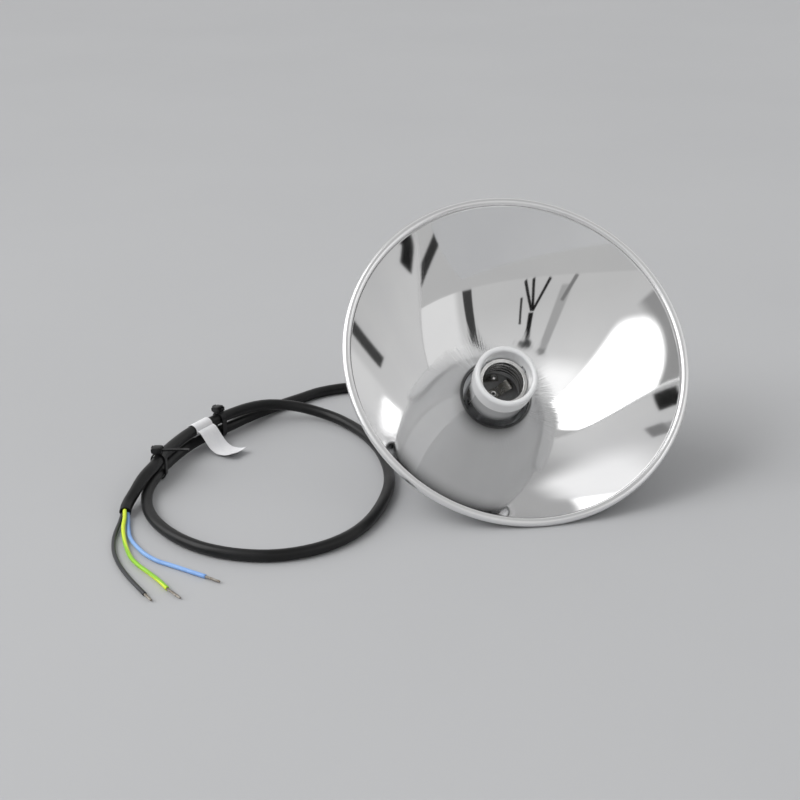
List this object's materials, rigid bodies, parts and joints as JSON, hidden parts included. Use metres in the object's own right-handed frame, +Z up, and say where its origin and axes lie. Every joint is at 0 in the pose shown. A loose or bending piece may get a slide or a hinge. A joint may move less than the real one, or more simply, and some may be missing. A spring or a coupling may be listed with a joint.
{
  "type": "reflector lamp head",
  "caption": "Polished spun bowl reflector on a porcelain screw lampholder, with a bracket behind it and a flexible mains cord that ends in bare cores.",
  "frame": {"origin": "on the surface the lamp lies on, under the middle of the lamp head's box (cord left out)", "axes": "+Z up; +X across the bowl; -Y is the front: the bowl leans back and its mouth looks up and towards -Y"},
  "size_m": [0.3504, 0.2641, 0.1545],
  "materials": {
    "polished_aluminium": "mirror polished, spun",
    "porcelain": "cool white glaze",
    "nickel": "nickel plated",
    "brass": "plain",
    "steel": "zinc plated",
    "black_plastic": "satin",
    "black_rubber": "satin",
    "black_core": "satin insulation",
    "blue_core": "satin insulation",
    "green_yellow_core": "green insulation with a yellow stripe",
    "tinned_copper": "tinned copper strands",
    "paper": "plain white"
  },
  "bodies": {
    "lamp": {"reflector_bowl": "polished_aluminium", "porcelain_holder": "porcelain", "threaded_shell": "nickel", "contact_eyelet": "nickel", "strap_rivet": "nickel", "spacer_lower": "nickel", "spacer_upper": "nickel", "earth_lug": "nickel", "centre_contact_foot": "brass", "side_contact_strap": "brass", "terminal_block_line": "brass", "terminal_block_neutral": "brass", "mounting_bracket": "steel", "neck_rivet_left": "steel", "neck_rivet_right": "steel", "base_screw_lower": "steel", "base_screw_upper": "steel", "earth_screw": "steel", "earth_washer": "steel", "earth_nut": "steel", "terminal_screw_line": "steel", "terminal_screw_neutral": "steel", "gland_body": "black_plastic", "gland_nut": "black_plastic", "gland_locknut": "black_plastic", "cable_tie_inner": "black_plastic", "cable_tie_outer": "black_plastic", "gland_seal": "black_rubber", "mains_cord": "black_rubber", "inner_wire_line": "black_core", "core_black": "black_core", "inner_wire_neutral": "blue_core", "core_blue": "blue_core", "inner_wire_earth": "green_yellow_core", "core_green_yellow": "green_yellow_core", "core_end_black": "tinned_copper", "core_end_blue": "tinned_copper", "core_end_green_yellow": "tinned_copper", "paper_tag": "paper"},
    "contact_leaf": {"centre_contact_leaf": "brass"}
  },
  "joints": [
    {"name": "contact_press", "type": "hinge", "parent": "lamp", "child": "contact_leaf", "pos_m": [0.00132, 0.04525, 0.03407], "axis": [-0.4067, 0.6249, 0.6664], "range_deg": [0, 12], "stiffness_Nm_per_rad": 0.36}
  ]
}
